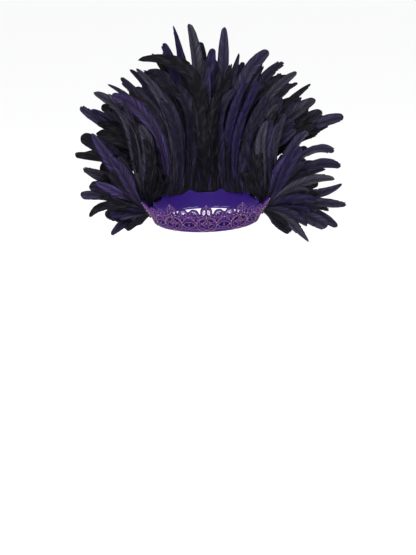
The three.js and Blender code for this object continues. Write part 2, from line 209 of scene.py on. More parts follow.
studio = {
    "floorHeight": -0.42,
    "floorSize": 70,
    "floorColour": (0.945, 0.945, 0.945, 1),
    "floorRoughness": 0.9,
    "airStrength": 1.12,
    "air": [(0.07, (1, 1, 1)), (0.13, (0.56, 0.57, 0.60)), (0.75, (1, 1, 1))],   # by height in the sky
}
lamps = [
    {"name": "key", "at": (-0.8, -2.3, 1.8), "size": 1.2, "power": 38, "tint": (1.0, 0.98, 0.95)},
    {"name": "fill", "at": (1.6, -1.8, 1.1), "size": 1.4, "power": 8, "tint": (0.93, 0.95, 1.0)},
    {"name": "top", "at": (0.1, 0.9, 2.3), "size": 1.3, "power": 8, "tint": (0.96, 0.97, 1.0)},
]


def makeStudio():
    bm = bmesh.new()
    bmesh.ops.create_grid(bm, x_segments=1, y_segments=1, size=studio["floorSize"] / 2)
    bmesh.ops.translate(bm, verts=bm.verts, vec=(0, 0, studio["floorHeight"]))
    floorPaint = makePlain("floorPaint", studio["floorColour"], studio["floorRoughness"])
    floor = finishMesh(bm, "floor", [floorPaint])
    for lamp in lamps:
        light = bpy.data.lights.new(lamp["name"], "AREA")
        light.shape = "DISK"
        light.size = lamp["size"]
        light.energy = lamp["power"]
        light.color = lamp["tint"]
        holder = bpy.data.objects.new(lamp["name"], light)
        holder.location = lamp["at"]
        holder.rotation_euler = (-Vector(lamp["at"])).to_track_quat("-Z", "Y").to_euler()
        bpy.context.collection.objects.link(holder)
    world = bpy.data.worlds.new("studioAir")
    world.use_nodes = True
    tree = world.node_tree
    sky = tree.nodes["Background"]
    spot = addNode(tree, "TexCoord", {})
    split = addNode(tree, "SeparateXYZ", {"Vector": spot.outputs["Generated"]})
    tree.links.new(addRamp(tree, split.outputs["Z"], studio["air"]), sky.inputs["Color"])
    sky.inputs["Strength"].default_value = studio["airStrength"]
    bpy.context.scene.world = world
    bpy.context.scene.view_settings.view_transform = "Standard"


# Cloth

def makeCloth(name, dark, light, roughness, weave, depth):
    material, tree, shader = startMaterial(name, roughness, specular=0.2)
    grain = addNoise(tree, objectPlace(tree), weave, detail=3.0, roughness=0.65)
    tree.links.new(addRamp(tree, grain, [(0.3, dark), (0.7, light)]), shader.inputs["Base Color"])
    addBump(tree, shader, grain, strength=0.6, depth=depth)
    shader.inputs["Sheen Weight"].default_value = 0.03
    shader.inputs["Sheen Tint"].default_value = (0.7, 0.55, 0.95, 1)
    return material


# Lace cloth: a fine net of raised stitches over a darker ground
def makeNet(name, dark, light, cell, roughness):
    material, tree, shader = startMaterial(name, roughness, specular=0.2)
    spot = objectPlace(tree)
    wander = addNoise(tree, spot, 180.0, detail=2.0, roughness=0.5)
    stitches = {"Vector": spot, "Scale": cell, "Randomness": 0.85}
    net = addNode(tree, "TexVoronoi", stitches, feature="DISTANCE_TO_EDGE").outputs["Distance"]
    tint = addRamp(tree, net, [(0.03, light), (0.13, dark)])
    patchy = addRamp(tree, wander, [(0.35, (0.35, 0.35, 0.4)), (0.65, (1.5, 1.4, 1.5))])
    tree.links.new(addMix(tree, 0.8, tint, patchy), shader.inputs["Base Color"])
    addBump(tree, shader, net, strength=0.8, depth=0.6 * mm, invert=True)
    return material


# Twisted cord: the UV runs round the cord (x) and along it in millimetres (y)
def makeTwist(name, dark, light, roughness, metal, turns):
    material, tree, shader = startMaterial(name, roughness, specular=0.18)
    around, along = barbPlace(tree)
    twist = addNode(tree, "Math", {0: along, 1: turns, 2: around}, operation="MULTIPLY_ADD").outputs[0]
    fold = addNode(tree, "Math", {0: twist, 1: 0.5}, operation="PINGPONG").outputs[0]
    tree.links.new(addRamp(tree, fold, [(0.05, dark), (0.4, light)]), shader.inputs["Base Color"])
    addBump(tree, shader, fold, strength=0.5, depth=0.3 * mm)
    shader.inputs["Metallic"].default_value = metal
    return material


# Band: an oval ring, angles in degrees from the front

band = {
    "headWidth": 170 * mm,
    "headLength": 193 * mm,
    "wall": 2 * mm,
    "height": 25 * mm,
    "peak": 6 * mm,
    "flare": math.radians(4),
    "bottom": 3.3 * mm,
    "edge": 0.5 * mm,
    "repeats": 10,
    "segments": 240,
    "rows": 8,
}
rimWide = band["headWidth"] / 2 + band["wall"]
rimLong = band["headLength"] / 2 + band["wall"]
halfRepeat = 180 / band["repeats"]


def outwards(angle):
    turn = math.radians(angle)
    return Vector((rimLong * math.sin(turn), rimWide * math.cos(turn), 0)).normalized()


def rimPlace(angle, outset, height):
    turn = math.radians(angle)
    spot = Vector((rimWide * math.sin(turn), rimLong * math.cos(turn), height))
    return spot + outwards(angle) * outset


def peakShare(angle):
    inRepeat = abs(angle) % (2 * halfRepeat)
    fromPeak = abs(inRepeat - halfRepeat) / halfRepeat
    return max(0, 1 - 2 * fromPeak)


def makeBand():
    bm = bmesh.new()
    made = bmesh.ops.create_grid(bm, x_segments=band["segments"], y_segments=band["rows"], size=0.5)["verts"]
    for vert in made:
        angle = vert.co.x * 360
        share = vert.co.y + 0.5
        rounded = smoothStep(peakShare(angle), 0, 1)
        height = share * (band["height"] + band["peak"] * rounded)
        outset = height * math.tan(band["flare"]) - band["wall"] / 2
        vert.co = rimPlace(angle, outset, band["bottom"] + height)
    bmesh.ops.remove_doubles(bm, verts=bm.verts, dist=weldReach)
    bmesh.ops.recalc_face_normals(bm, faces=bm.faces)
    piece = finishMesh(bm, "satin_band", [satinMaterial])
    shell = piece.modifiers.new("wall", "SOLIDIFY")
    shell.thickness = band["wall"]
    shell.offset = 0
    rim = piece.modifiers.new("rimRound", "BEVEL")
    rim.width = band["edge"]
    rim.segments = 2
    rim.limit_method = "ANGLE"
    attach(piece, "root")
    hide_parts("base_band")


# Rolled binding round the lower edge

binding = {
    "top": 3.0 * mm,
    "inner": -2.2 * mm,
    "outer": 0.2 * mm,
    "fullness": 0.7,   # below 1 the section is squarer than an oval
    "sides": 14,
    "segments": 200,
}


def squared(share):
    return math.copysign(abs(share) ** binding["fullness"], share)


def makeBinding():
    bm = bmesh.new()
    makeTube(bm, binding["sides"], binding["segments"] - 1, False)
    middle = (binding["inner"] + binding["outer"]) / 2
    halfWall = (binding["outer"] - binding["inner"]) / 2
    for vert in bm.verts:
        around = math.atan2(vert.co.y, vert.co.x)
        outset = middle + squared(math.cos(around)) * halfWall
        height = binding["top"] * (0.5 + 0.5 * squared(math.sin(around)))
        vert.co = rimPlace(vert.co.z * 360, outset, height)
    bmesh.ops.remove_doubles(bm, verts=bm.verts, dist=weldReach)
    bmesh.ops.recalc_face_normals(bm, faces=bm.faces)
    piece = finishMesh(bm, "binding_roll", [bindingMaterial])
    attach(piece, "root")
    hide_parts("rim_binding")


# Lace: laid out flat in millimetres for half a repeat, from the axis of a pointed medallion (x 0)
# to the middle of the repeat, then mirrored, repeated and bent round the band

lace = {
    "wall": 1.4 * mm,
    "height": 46 * mm,
    "seat": 0.7 * mm,
    "flareBack": 12,
    "flareFront": 33,
    "flareTurn": (20, 85),   # the flare changes between these angles from the back
    "curve": 0.25,
    "halfWide": 29.1,
    "plateThick": 0.9,
    "plateLift": 0.7,
    "strips": 18,
    "bands": 9,
    "bandStep": 4.6,
    "cordStep": 0.85,
    "cordHeight": 1.7,       # a cord's full height in radii, where 2 is round
    "liftCord": 0.62,
    "liftThread": 0.95,
    "crownSteps": 90,
    "floorSteps": 24,
    "gapSteps": 26,
    "cordSides": 6,
    "threadSides": 5,
    "knot": 0.65,
    "liftKnot": 1.45,
    "flatWeld": 0.001,
    "axisReach": 0.002,      # walls this close to an axis of the repeat are dropped
    "mirrorWeld": 0.003,
    "bentWeld": 0.004 * mm,
    "drift": 0.25,           # handmade unevenness
    "driftScale": 90,
    "crownTop": [
        (0, 46), (1.6, 43.6), (4.2, 42.0), (7.0, 39.8), (8.9, 36.6), (9.4, 33.2), (9.5, 30.2), (10.4, 28.6),
        (11.6, 30.6), (13.2, 34.2), (16.2, 36.7), (20.0, 37.4), (23.8, 36.7), (26.6, 34.2), (28.3, 30.8),
        (29.1, 28.4),
    ],
    "floorLine": [(29.1, 0), (20, 0), (14.6, -0.1), (11.6, -1.4), (6, -1.9), (0, -2.1)],
}

# Ovals: the place, half size and tilt of each
laceGaps = [
    ((7.0, 17.7), (4.4, 2.8), -24),
    ((7.3, 7.6), (4.4, 2.5), 22),
    ((3.7, 31.6), (2.1, 5.0), 8),
    ((17.6, 18.4), (1.8, 3.8), -28),
    ((20.2, 29.4), (4.3, 4.3), 0),
    ((24.2, 10.1), (3.5, 2.6), 0),
]

# Cords: a radius, then the points of a line or the place, half size and tilt of an oval
silkCords = [
    (0.75, [(0, 45.6), (1.6, 43.2), (4.0, 41.6), (6.8, 39.3), (8.4, 36.4), (8.9, 33.2), (8.7, 29.8),
            (7.2, 26.8), (5.2, 24.6)]),
    (0.5, (0, 32.4), (1.35, 6.2), 0),
    (0.8, (20.2, 29.3), (7.7, 7.3), 0),
    (0.5, (20.2, 29.4), (2.1, 2.1), 0),
    (0.42, [(14.8, 29.0), (16.8, 29.8), (18.2, 29.4)]),
    (0.42, [(22.2, 29.4), (23.6, 28.9), (25.6, 29.7)]),
    (0.42, [(20.0, 24.2), (20.6, 26.0), (20.2, 27.3)]),
    (0.42, [(20.3, 31.5), (19.8, 33.0), (20.4, 34.8)]),
    (0.6, [(0, 21.4), (4.4, 20.9), (8.6, 19.4), (11.9, 15.8), (13.8, 11.4), (13.6, 7.0), (11.6, 3.4)]),
    (0.6, (0, 12.6), (2.4, 3.0), 0),
    (0.45, [(0, 9.2), (1.6, 6.0), (1.2, 3.0), (0, 1.4)]),
    (0.65, [(17.0, 12.4), (21.0, 15.4), (25.0, 18.8), (29.1, 21.6)]),
    (0.5, (29.1, 10.1), (1.5, 3.6), 0),
    (0.6, [(16.4, 16.0), (14.8, 20.6), (12.4, 24.4), (10.6, 27.4)]),
    (0.6, [(22.4, 20.4), (25.6, 23.2), (28.0, 26.2), (29.1, 28.0)]),
    (0.75, [(12.6, 0.8), (16.0, 1.1), (20.0, 1.0), (24.0, 1.0), (29.1, 1.0)]),
    (0.5, [(17.2, 3.4), (17.8, 6.2), (17.4, 9.0), (17.8, 11.6)]),
    # darning threads across the open medallions
    (0.34, [(1.0, 29.2), (3.5, 30.6), (6.4, 29.8)]),
    (0.34, [(0.9, 33.6), (3.6, 32.8), (6.4, 34.4)]),
    (0.34, [(3.2, 26.2), (3.9, 31.4), (3.4, 36.9)]),
    (0.34, (20.2, 29.4), (3.5, 3.5), 0),
    (0.34, [(17.0, 32.4), (18.4, 31.0), (19.2, 30.5)]),
    (0.34, [(21.3, 30.6), (22.2, 31.4), (23.4, 32.4)]),
    (0.34, [(17.0, 26.4), (18.2, 27.4), (19.0, 28.2)]),
    (0.34, [(21.3, 28.3), (22.4, 27.4), (23.4, 26.3)]),
    (0.34, [(4.0, 15.6), (6.8, 17.8), (9.8, 18.8)]),
    (0.34, [(4.0, 9.4), (7.2, 7.6), (10.2, 6.0)]),
    # small scrolls and buds between the motifs
    (0.4, (10.6, 12.4), (2.0, 1.5), 12),
    (0.4, (12.9, 22.4), (1.1, 2.3), 30),
    (0.4, (24.6, 18.0), (2.0, 0.9), 34),
    (0.4, (29.1, 18.6), (1.1, 1.9), 0),
    (0.42, [(13.4, 26.2), (15.8, 22.8), (18.6, 22.0), (21.6, 21.4)]),
]
goldThreads = [
    (0.32, [(0, 42.4), (2.6, 40.6), (5.2, 38.4), (6.7, 35.4), (6.9, 31.6), (5.9, 28.2), (4.2, 25.4)]),
    (0.26, (3.6, 31.8), (2.6, 5.7), 8),
    (0.32, (20.2, 29.4), (5.6, 5.4), 0),
    (0.5, [(0, 23.4), (4.8, 23.0), (9.6, 21.2), (13.6, 17.2), (15.9, 12.0), (15.8, 6.4), (13.4, 1.9),
           (9.4, -0.7), (4.6, -1.0), (1.2, 0.9)]),
    (0.3, (7.0, 17.6), (5.3, 3.3), -24),
    (0.3, (7.3, 7.8), (5.2, 3.0), 22),
    (0.3, (7.6, 1.7), (5.0, 1.7), -4),
    (0.38, [(16.6, 14.6), (20.4, 17.4), (24.8, 21.4), (29.1, 24.8)]),
    (0.38, [(18.6, 10.0), (21.2, 12.9), (24.8, 14.7), (29.1, 15.3)]),
    (0.38, [(18.6, 10.0), (21.2, 7.2), (24.8, 5.5), (29.1, 4.8)]),
    (0.26, (17.6, 18.5), (2.5, 4.5), -28),
    (0.3, [(14.2, 18.6), (12.0, 22.6), (9.6, 25.2), (8.2, 26.2)]),
    (0.3, [(15.4, 2.9), (19.0, 2.7), (24.0, 2.6), (29.1, 2.6)]),
    (0.26, [(19.6, 3.0), (20.8, 4.6), (22.6, 5.0)]),
    # small scrolls and buds between the motifs
    (0.26, (3.4, 12.6), (1.5, 2.4), 0),
    (0.26, (6.6, 12.6), (1.7, 1.3), 0),
    (0.26, (0, 17.4), (1.4, 2.4), 0),
    (0.26, (20.8, 20.6), (1.2, 2.4), -46),
    (0.26, (24.6, 23.8), (1.1, 2.2), -44),
    (0.26, (29.1, 22.8), (0.9, 1.3), 0),
    (0.26, (12.2, 30.6), (0.9, 1.8), -20),
    (0.26, (27.2, 29.8), (0.8, 1.7), 12),
]
laceKnots = [
    (0, 44.0), (0, 39.4), (0, 25.6), (0, 22.4), (0, 12.6), (20.2, 29.4), (18.4, 10.0), (29.1, 23.2),
    (29.1, 10.1), (13.2, 25.0), (16.6, 14.2), (6.9, 26.2), (0, 1.2),
]


# A place on the lace, by its angle round the band and its distance up and out from the seam
def lacePlace(angle, along, depth):
    forward = smoothStep(180 - abs((angle + 180) % 360 - 180), *lace["flareTurn"])
    flare = math.radians(lace["flareBack"] + (lace["flareFront"] - lace["flareBack"]) * forward)
    curved = 1 - lace["curve"] + lace["curve"] * along / lace["height"]
    outset = lace["seat"] + max(0, along) * math.sin(flare) * curved + depth * math.cos(flare)
    return rimPlace(angle, outset, band["bottom"] + along * math.cos(flare) - depth * math.sin(flare))


# A smooth line through all its points
def smoothLine(points, t):
    last = len(points) - 1
    place = min(t, 0.999999) * last
    n = int(place)
    f = place - n
    p = [Vector((*points[min(last, max(0, n + k))], 0)) for k in (-1, 0, 1, 2)]
    if n == 0:
        p[0] = p[1] * 2 - p[2]
    if n == last - 1:
        p[3] = p[2] * 2 - p[1]
    return 0.5 * (2 * p[1] + (p[2] - p[0]) * f + (2 * p[0] - 5 * p[1] + 4 * p[2] - p[3]) * f ** 2
                  + (3 * p[1] - p[0] - 3 * p[2] + p[3]) * f ** 3)


def ovalLine(at, half, tilt, t):
    turn = t * 2 * math.pi
    spot = Vector((half[0] * math.cos(turn), half[1] * math.sin(turn), 0))
    spot.rotate(Matrix.Rotation(math.radians(tilt), 3, "Z"))
    return spot + Vector((*at, 0))


def addFlatCurve(curve, places):
    spline = curve.splines.new("POLY")
    spline.points.add(len(places) - 1)
    for point, place in zip(spline.points, places):
        point.co = (place.x, place.y, 0, 1)
    spline.use_cyclic_u = True


# The plate of half a repeat: a flat filled curve with its gaps, cut into strips so that it can bend
def flatPlate():
    curve = bpy.data.curves.new("lacePlan", "CURVE")
    curve.dimensions = "2D"
    curve.fill_mode = "BOTH"
    curve.extrude = lace["plateThick"] / 2
    above, below, around = lace["crownSteps"], lace["floorSteps"], lace["gapSteps"]
    crown = [smoothLine(lace["crownTop"], n / above) for n in range(above + 1)]
    floorLine = [smoothLine(lace["floorLine"], n / below) for n in range(below + 1)]
    addFlatCurve(curve, crown + floorLine)
    for gap in laceGaps:
        addFlatCurve(curve, [ovalLine(*gap, n / around) for n in range(around)])
    holder = bpy.data.objects.new("lacePlan", curve)
    plan = bpy.data.meshes.new_from_object(holder)
    bm = bmesh.new()
    bm.from_mesh(plan)
    bpy.data.objects.remove(holder)
    bpy.data.meshes.remove(plan)
    bmesh.ops.remove_doubles(bm, verts=bm.verts, dist=lace["flatWeld"])
    cutStrips(bm, Vector((1, 0, 0)), lace["strips"], lace["halfWide"] / lace["strips"])
    cutStrips(bm, Vector((0, 1, 0)), lace["bands"], lace["bandStep"])
    return bm


def cutStrips(bm, way, count, width):
    for n in range(1, count):
        bmesh.ops.bisect_plane(bm, geom=wholeGeometry(bm), plane_co=way * (n * width), plane_no=way)


# A round cord along a flat line, its section squashed a little against the plate
def layCord(bm, layers, line, length, radius, lift, closed, sides):
    steps = max(4, round(length / lace["cordStep"]))
    tube = makeTube(bm, sides, steps - 1, not closed)
    reading = {}
    for vert in tube:
        along = vert.co.z + 0.5
        around = math.atan2(vert.co.y, vert.co.x) / (2 * math.pi)
        before, after = along - 0.01, along + 0.01
        if not closed:
            before, after = max(0, before), min(1, after)
        ahead = line(after) - line(before)
        sideways = Vector((-ahead.y, ahead.x, 0)).normalized()
        reading[vert] = (around, along * length)
        height = lift + vert.co.y * lace["cordHeight"] * radius
        vert.co = line(along) + sideways * (vert.co.x * 2 * radius) + Vector((0, 0, height))
    paintFaces(bm, layers, tube, reading, (1, 1, 1), 0)


def layCords(cords, lift, sides):
    bm, layers = startMesh()
    for radius, *course in cords:
        if len(course) == 1:
            points = course[0]
            length = sum((Vector(b) - Vector(a)).length for a, b in zip(points, points[1:]))
            layCord(bm, layers, lambda t: smoothLine(points, t), length, radius, lift, False, sides)
        else:
            length = math.pi * sum(course[1])
            layCord(bm, layers, lambda t: ovalLine(*course, t), length, radius, lift, True, sides)
    return bm


def layKnots():
    bm = bmesh.new()
    for spot in laceKnots:
        made = bmesh.ops.create_uvsphere(bm, u_segments=8, v_segments=5, radius=lace["knot"])["verts"]
        bmesh.ops.translate(bm, verts=made, vec=(*spot, lace["liftKnot"]))
    return bm


# Mirror the half repeat, drop the walls on the two axes, repeat it round the band and bend it
def bendRound(bm):
    half = lace["halfWide"]
    for axis, keep in ((0, -1), (half, 1)):
        bmesh.ops.bisect_plane(bm, geom=wholeGeometry(bm), plane_co=(axis, 0, 0), plane_no=(keep, 0, 0),
                               clear_outer=True)
        walls = [face for face in bm.faces
                 if all(abs(vert.co.x - axis) < lace["axisReach"] for vert in face.verts)]
        bmesh.ops.delete(bm, geom=walls, context="FACES_ONLY")
    bmesh.ops.mirror(bm, geom=wholeGeometry(bm), merge_dist=lace["mirrorWeld"], axis="X")
    first = wholeGeometry(bm)
    for n in range(1, band["repeats"]):
        copy = bmesh.ops.duplicate(bm, geom=first)
        verts = [item for item in copy["geom"] if isinstance(item, bmesh.types.BMVert)]
        bmesh.ops.translate(bm, verts=verts, vec=(n * 2 * half, 0, 0))
    for vert in bm.verts:
        angle = vert.co.x / half * halfRepeat - 180
        spot = lacePlace(angle, vert.co.y * mm, (vert.co.z + lace["plateLift"]) * mm)
        vert.co = spot + noise.noise_vector(spot * lace["driftScale"]) * lace["drift"] * mm
    bmesh.ops.remove_doubles(bm, verts=bm.verts, dist=lace["bentWeld"])
    bmesh.ops.recalc_face_normals(bm, faces=bm.faces)


def makeLace():
    cords = layCords(silkCords, lace["liftCord"], lace["cordSides"])
    threads = layCords(goldThreads, lace["liftThread"], lace["threadSides"])
    layings = (
        ("lace_plate", flatPlate(), laceMaterial, False),
        ("lace_cords", cords, cordMaterial, True),
        ("lace_threads", threads, threadMaterial, True),
        ("lace_knots", layKnots(), pearlMaterial, True),
    )
    for name, bm, material, smooth in layings:
        bendRound(bm)
        piece = finishMesh(bm, name, [material], smooth)
        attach(piece, "root")
        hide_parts("lace_trim")


# Feathers: the same tables as the solids, with a tone for each

fan = {
    "reach": 240 * mm,
    "height": 315 * mm,
    "vaneWidth": 22 * mm,
    "fullness": 1.1,
    "shaftWall": 1.5 * mm,
    "shaftTaper": 0.86,
    "shaftReach": 0.985,       # the shaft ends just short of the tip
    "quillShare": 0.18,
    "tipHold": 0.34,
    "swing": 0.75,             # how far the tips turn to the side
    "gather": 0.30,            # how far the quills lean in
    "bend": 0.05,
    "columns": 8,
    "steps": 48,
    "tipCrowd": 0.4,           # rows lie closer towards the tip
    "shaftSides": 5,
    "shaftCuts": 16,
    "vaneThickness": 0.25 * mm,
    "barbLean": 0.62,
    "wavePitch": 9,
    "ragged": 0.07,            # unevenness of a vane's edge
    "raggedPitch": 0.35,
    "curl": 0.16,              # of the groups of barbs between two splits
    "curlCount": 12,
    "glow": (0.75, 1.3),       # how light a listed feather is
    "fillGlow": (0.4, 1.25),   # and a filling one
    "fillShares": (0.33, 0.67),
    "fillTones": ("black",) * 4 + ("indigo",) * 2 + ("charcoal",) * 2 + ("dusk", "deep"),
    "steepTones": ("black", "charcoal", "indigo", "black", "dusk", "charcoal"),
    "ownKeys": ("seat", "bend", "tipHold", "blunt", "glow", "bare"),   # not passed on to filling feathers
}
vaneShape = {                  # limits of what differs from one vane to the next
    "fullFrom": (0.30, 0.54),
    "camber": (0.18, 0.46),
    "twist": (-0.5, 0.5),
    "wave": (0.03, 0.12),
    "phase": (0, 6.28),
    "bias": (-0.16, 0.16),     # one side of a vane is a little wider
}
splitting = {
    "from": 0.35,              # no splits nearer the root
    "depth": (0.25, 0.6),
    "frayed": 0.12,            # share of the vanes with a frayed end
    "frayDepth": (0.3, 0.55),
    "frayRows": (9, 2, 3),     # from the ninth row below the tip to the third, every third one
    "whole": 4,                # rows below the tip without a split
}
rowPlan = {
    "tapeHeight": 8 * mm,
    "tapeRise": 17 * mm,
    "tapeSteps": 62,
    "quillHold": 1.6 * mm,
    "spacing": 2.2 * mm,
    "spread": 62,
    "turn": 0.35,
    "seats": 0.9,
    "gap": 0.3 * mm,
}
tuftPlan = {
    "tapeWall": 3 * mm,
    "tapeWidth": 7 * mm,
    "tapeLength": 22 * mm,
    "tapeStart": 7 * mm,
    "gap": 1.05 * mm,
    "margin": 0.08,
    "hold": 0.36,
    "tilt": 0.35,              # how far a listed feather turns about its quill
    "fillTilt": 0.7,           # and a filling one
}
rowFill = {
    "up": (0.78, 0.94),
    "out": (0.94, 1.0),
    "top": 0.80,
    "rise": (-34, 16),
    "width": (0.80, 1.15),
    "bend": (-0.10, 0.10),
}
tuftFill = {
    "start": {"out": 0.46, "up": 0.07},   # where the quills leave the lace
    "reach": (0.62, 0.90),
    "inwards": (-3, 9),
    "rise": (-14, 10),
    "width": (0.60, 0.90),
    "bend": (-0.05, 0.05),
}
shortFill = {
    "out": (0.56, 0.68),
    "up": (0.22, 0.42),
    "rise": (10, 60),
    "width": (0.75, 1.05),
    "bend": (-0.12, 0.12),
}
tones = {
    "black": (0.0025, 0.0023, 0.0040),
    "charcoal": (0.0200, 0.0200, 0.0270),
    "dusk": (0.0190, 0.0158, 0.0340),
    "indigo": (0.0088, 0.0072, 0.0190),
    "violet": (0.0235, 0.0160, 0.0500),
    "deep": (0.0088, 0.0060, 0.0290),
}

# A row's feathers: the tip's angle, distance out and height, its slope, the width and the tone
rowColumns = ("tip", "out", "up", "rise", "width", "tone")
rows = [
    {"name": "feather_row_inner", "lean": 6, "hold": 0.44, "short": 22, "feathers": [
        (-66, 0.65, 0.50, 38, 1.05, "black", {"bare": True}),
        (-57, 0.78, 0.65, 15, 1.05, "violet"),
        (-49, 0.70, 0.66, 40, 0.85, "black"),
        (-41, 0.72, 0.78, 45, 0.75, "charcoal"),
        (-26, 0.61, 0.70, 50, 0.75, "black"),
        (-13, 0.65, 0.76, 62, 0.85, "black"),
        (5, 0.63, 0.77, 75, 0.75, "violet"),
        (17, 0.65, 0.70, 66, 0.90, "black"),
        (29, 0.66, 0.69, 60, 0.80, "deep"),
        (41, 0.64, 0.69, 60, 0.95, "deep"),
        (52, 0.70, 0.61, 52, 0.80, "indigo"),
        (60, 0.77, 0.58, 52, 0.70, "indigo"),
        (67, 0.72, 0.44, 40, 0.75, "dusk"),
    ]},
    {"name": "feather_row_middle", "lean": 17, "hold": 0.42, "short": 12, "feathers": [
        (-67, 0.84, 0.45, 4, 0.95, "black"),
        (-58, 0.93, 0.66, 28, 1.20, "charcoal", {"blunt": 0.3, "glow": (1.25, 1.26)}),
        (-46, 0.82, 0.73, 42, 0.70, "indigo"),
        (-38.4, 0.738, 0.822, -6, 1.10, "black", {"seat": -7, "bend": 0, "tipHold": 0.58, "blunt": 0.4}),
        (-20, 0.79, 0.90, 58, 0.80, "deep"),
        (-6, 0.78, 1.00, 72, 0.90, "charcoal", {"blunt": 0.75}),
        (7, 0.76, 0.86, 70, 0.80, "deep", {"blunt": 0.9}),
        (21, 0.79, 0.83, 60, 0.80, "indigo"),
        (36, 0.85, 0.84, 36, 0.95, "dusk", {"blunt": 0.9}),
        (44, 0.84, 0.72, 40, 0.70, "black"),
        (52, 0.88, 0.73, 30, 0.65, "charcoal"),
        (60, 0.95, 0.58, 28, 1.00, "charcoal"),
        (67, 0.90, 0.47, 40, 0.80, "black"),
    ]},
    {"name": "feather_row_outer", "lean": 26, "hold": 0.40, "short": 4, "feathers": [
        (-68, 1.01, 0.33, 4, 0.65, "black"),
        (-60, 1.03, 0.58, 40, 0.70, "dusk", {"blunt": 0.9}),
        (-48, 0.93, 0.69, 30, 0.65, "dusk"),
        (-36, 0.90, 0.76, 40, 0.80, "indigo"),
        (-24, 0.89, 0.84, 50, 0.70, "black"),
        (-13, 0.88, 0.99, 76, 1.10, "deep", {"blunt": 0.0}),
        (0, 0.87, 0.89, 72, 0.80, "black"),
        (12, 0.88, 0.97, 80, 0.90, "dusk", {"blunt": 0.7}),
        (21, 0.89, 0.77, 58, 0.65, "indigo"),
        (31, 0.90, 0.75, 48, 0.75, "black"),
        (41, 0.93, 0.77, 28, 0.80, "indigo"),
        (48, 0.95, 0.66, 20, 0.60, "dusk"),
        (55, 0.97, 0.66, 34, 0.60, "black"),
        (66, 1.12, 0.48, 6, 0.80, "dusk", {"blunt": 0.9}),
    ]},
]

# A tuft's feathers also have the place on the tape (sit) and the slope of the quill (start)
tuftColumns = ("sit", "start", *rowColumns)
tufts = [
    {"name": "left_tuft_front", "seat": -68, "feathers": [
        (1.0, 44, -74, 0.79, 0.41, 12, 0.80, "indigo"),
        (0.8, 40, -74, 0.91, 0.27, 24, 0.95, "charcoal"),
        (0.6, 26, -75, 0.85, 0.19, 0, 0.75, "indigo"),
        (0.45, 18, -74, 0.94, 0.12, -8, 0.70, "dusk"),
        (0.3, 2, -74, 0.76, 0.01, -20, 0.75, "indigo"),
        (0.1, -16, -73, 0.55, -0.03, -28, 0.42, "black"),
    ]},
    {"name": "left_tuft_middle", "seat": -78, "feathers": [
        (1.0, 54, -83, 0.61, 0.35, 44, 0.65, "charcoal"),
        (0.85, 44, -83, 0.79, 0.48, 58, 0.95, "violet"),
        (0.6, 30, -84, 0.83, 0.19, 6, 0.80, "indigo"),
        (0.4, 18, -83, 0.84, 0.02, -66, 0.60, "black"),
        (0.2, -2, -83, 0.69, -0.08, -46, 0.62, "indigo", {"blunt": 0.3}),
        (0.05, -14, -82, 0.60, -0.04, -30, 0.45, "indigo"),
    ]},
    {"name": "left_tuft_rear", "seat": -88, "feathers": [
        (1.0, 46, -92, 0.67, 0.36, 40, 0.90, "violet"),
        (0.8, 36, -92, 0.77, 0.23, 22, 0.65, "violet"),
        (0.55, 20, -93, 0.72, 0.11, 0, 0.70, "black"),
        (0.35, 6, -92, 0.68, 0.05, -6, 0.70, "deep"),
        (0.15, -10, -91, 0.57, -0.04, -32, 0.42, "black"),
    ]},
    {"name": "right_tuft_front", "seat": 68, "feathers": [
        (1.0, 44, 74, 0.79, 0.42, 20, 0.80, "indigo"),
        (0.8, 46, 74, 0.97, 0.31, -34, 0.80, "dusk"),
        (0.6, 24, 75, 0.90, 0.22, 4, 0.75, "indigo"),
        (0.45, 20, 74, 1.03, 0.13, 34, 0.70, "dusk"),
        (0.3, 10, 74, 0.99, -0.11, -44, 0.65, "dusk"),
        (0.1, -8, 73, 0.72, -0.05, -30, 0.70, "indigo"),
    ]},
    {"name": "right_tuft_middle", "seat": 78, "feathers": [
        (1.0, 56, 83, 0.61, 0.32, 42, 0.80, "violet"),
        (0.85, 50, 83, 0.74, 0.45, 40, 0.75, "dusk"),
        (0.65, 42, 84, 0.97, 0.25, -30, 0.70, "indigo"),
        (0.4, 18, 83, 1.01, 0.035, -4, 0.70, "dusk"),
        (0.2, 0, 83, 0.87, -0.08, -34, 1.00, "dusk"),
        (0.05, -14, 82, 0.64, -0.07, -32, 0.60, "black"),
    ]},
    {"name": "right_tuft_rear", "seat": 88, "feathers": [
        (1.0, 46, 92, 0.68, 0.38, 42, 0.80, "deep"),
        (0.8, 36, 92, 0.91, 0.20, -10, 0.75, "charcoal"),
        (0.5, 16, 93, 0.78, 0.09, -12, 0.75, "deep"),
        (0.3, -10, 92, 0.72, -0.14, -46, 0.70, "charcoal", {"blunt": 0.1}),
        (0.1, -16, 91, 0.58, -0.09, -28, 0.40, "black"),
    ]},
]


# Feathers as dictionaries; what one line adds of its own comes after its columns
def readLines(lines, columns):
    feathers = []
    for line in lines:
        feather = dict(zip(columns, line))
        feather.update(*line[len(columns):])
        feathers.append(feather)
    return feathers


def tipPlace(feather):
    turn = math.radians(feather["tip"])
    spread = feather["out"] * fan["reach"]
    return Vector((spread * math.sin(turn), spread * math.cos(turn), feather["up"] * fan["height"]))


